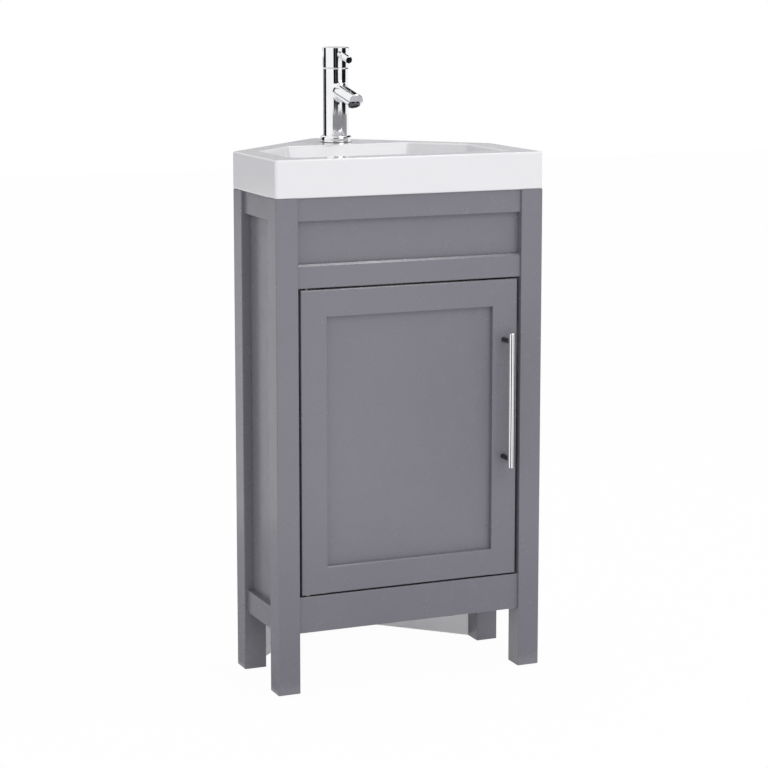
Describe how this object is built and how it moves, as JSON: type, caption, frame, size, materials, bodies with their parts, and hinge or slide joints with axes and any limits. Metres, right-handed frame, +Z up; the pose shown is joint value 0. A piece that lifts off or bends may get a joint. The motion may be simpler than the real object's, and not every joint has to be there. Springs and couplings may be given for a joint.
{
  "type": "corner vanity unit",
  "caption": "Slim painted corner cabinet on square legs with a framed door, a five-sided white basin top and a chrome mono mixer tap.",
  "frame": {"origin": "on the floor, at the middle of the whole unit from side to side and from front to back", "axes": "the front with the door faces -Y, +X is to the right of someone facing it, +Z is up"},
  "size_m": [0.458, 0.4494, 1.009],
  "materials": {
    "paint": "satin grey paint",
    "light_board": "pale faced board",
    "timber": "bare softwood",
    "pale_plastic": "matte",
    "zinc_steel": "zinc plated",
    "plain_brass": "plain",
    "bright_chrome": "mirror polished",
    "white_glaze": "gloss",
    "black_rubber": "matte"
  },
  "bodies": {
    "carcass": {"front_left_post": "paint", "front_right_post": "paint", "rear_left_post": "paint", "rear_right_post": "paint", "back_corner_post": "light_board", "front_top_rail": "paint", "front_fixed_panel": "paint", "front_mid_rail": "paint", "front_bottom_rail": "paint", "left_top_rail": "paint", "left_bottom_rail": "paint", "left_side_panel": "paint", "right_top_rail": "paint", "right_bottom_rail": "paint", "right_side_panel": "paint", "left_back_panel": "light_board", "right_back_panel": "light_board", "left_back_batten": "timber", "right_back_batten": "timber", "cabinet_floor": "light_board", "side_floor_cleats": "timber", "front_floor_cleat": "timber", "inner_shelf": "light_board", "shelf_pins": "zinc_steel", "rail_dowels": "timber", "foot_glides": "pale_plastic", "pivot_bushes": "plain_brass", "magnetic_catch": "pale_plastic", "catch_screws": "zinc_steel", "basin": "white_glaze", "waste_body": "bright_chrome", "waste_seal": "black_rubber", "waste_backnut": "plain_brass", "tap_base_ring": "bright_chrome", "tap_body": "bright_chrome", "tap_aerator": "bright_chrome", "tap_dome_ring": "bright_chrome", "tap_cartridge": "pale_plastic", "tap_stud": "zinc_steel", "tap_washer": "zinc_steel", "tap_nut": "plain_brass"},
    "door": {"door_hinge_stile": "paint", "door_handle_stile": "paint", "door_top_rail": "paint", "door_bottom_rail": "paint", "door_panel": "paint", "lower_pivot_pin": "zinc_steel", "upper_pivot_pin": "zinc_steel", "handle_bar": "bright_chrome", "handle_pillars": "bright_chrome", "handle_screws": "zinc_steel", "strike_plate": "zinc_steel"},
    "plug": {"waste_plug": "bright_chrome"},
    "tap_core": {"cartridge_core": "plain_brass"},
    "tap_handle": {"cartridge_stem": "zinc_steel", "tilt_pin": "zinc_steel", "tap_cap": "bright_chrome", "tap_lever": "bright_chrome", "cap_grub_screw": "zinc_steel"}
  },
  "joints": [
    {"name": "door_swing", "type": "hinge", "parent": "carcass", "child": "door", "pos_m": [-0.1745, -0.18018, 0.1565], "axis": [0, 0, -1], "range_deg": [0, 105]},
    {"name": "plug_lift", "type": "slide", "parent": "carcass", "child": "plug", "axis": [0, 0, 1], "range_m": [0, 0.008]},
    {"name": "tap_turn", "type": "hinge", "parent": "carcass", "child": "tap_core", "pos_m": [0, 0.12582, 0.96], "axis": [0, 0, 1], "range_deg": [-45, 45]},
    {"name": "tap_lift", "type": "hinge", "parent": "tap_core", "child": "tap_handle", "pos_m": [0, 0.12582, 0.96], "axis": [-1, 0, 0], "range_deg": [0, 18]}
  ]
}
